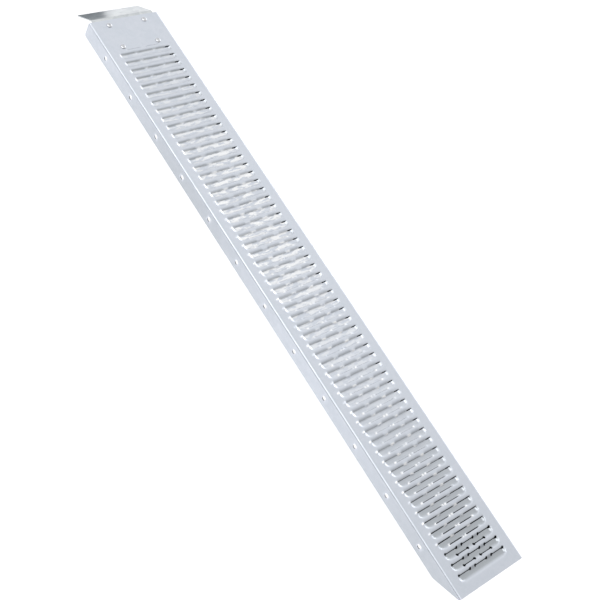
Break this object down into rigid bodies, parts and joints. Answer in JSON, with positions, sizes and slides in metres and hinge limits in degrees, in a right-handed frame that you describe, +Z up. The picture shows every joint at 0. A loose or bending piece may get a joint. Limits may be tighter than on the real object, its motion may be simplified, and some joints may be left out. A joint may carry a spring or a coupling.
{
  "type": "dog ramp",
  "caption": "Straight galvanised steel channel ramp with pressed slotted rungs, tapered side flanges and a riveted, down-bent lip that hooks over a step or car boot edge.",
  "frame": {"origin": "centre of the footprint on the ground plane, with the ramp lying on its flange edges", "axes": "+X across the ramp, +Y along it from the ground end to the lip, +Z up from the ground to the walking deck"},
  "size_m": [0.2, 1.6616, 0.0444],
  "materials": {
    "galvanised_sheet": "hot-dip galvanised cold-rolled sheet, bright spangle, satin",
    "galvanised_plate": "galvanised plate, smooth and more mirror-like than the deck",
    "rivet_steel": "zinc-plated steel blind rivet, smooth",
    "mandrel_steel": "plain drawn steel mandrel, dull"
  },
  "bodies": {
    "root": {"deck_channel": "galvanised_sheet", "lip_plate": "galvanised_plate", "rivet_upper_left": "rivet_steel", "rivet_upper_right": "rivet_steel", "rivet_lower_left": "rivet_steel", "rivet_lower_right": "rivet_steel", "mandrel_upper_left": "mandrel_steel", "mandrel_upper_right": "mandrel_steel", "mandrel_lower_left": "mandrel_steel", "mandrel_lower_right": "mandrel_steel"}
  },
  "joints": []
}
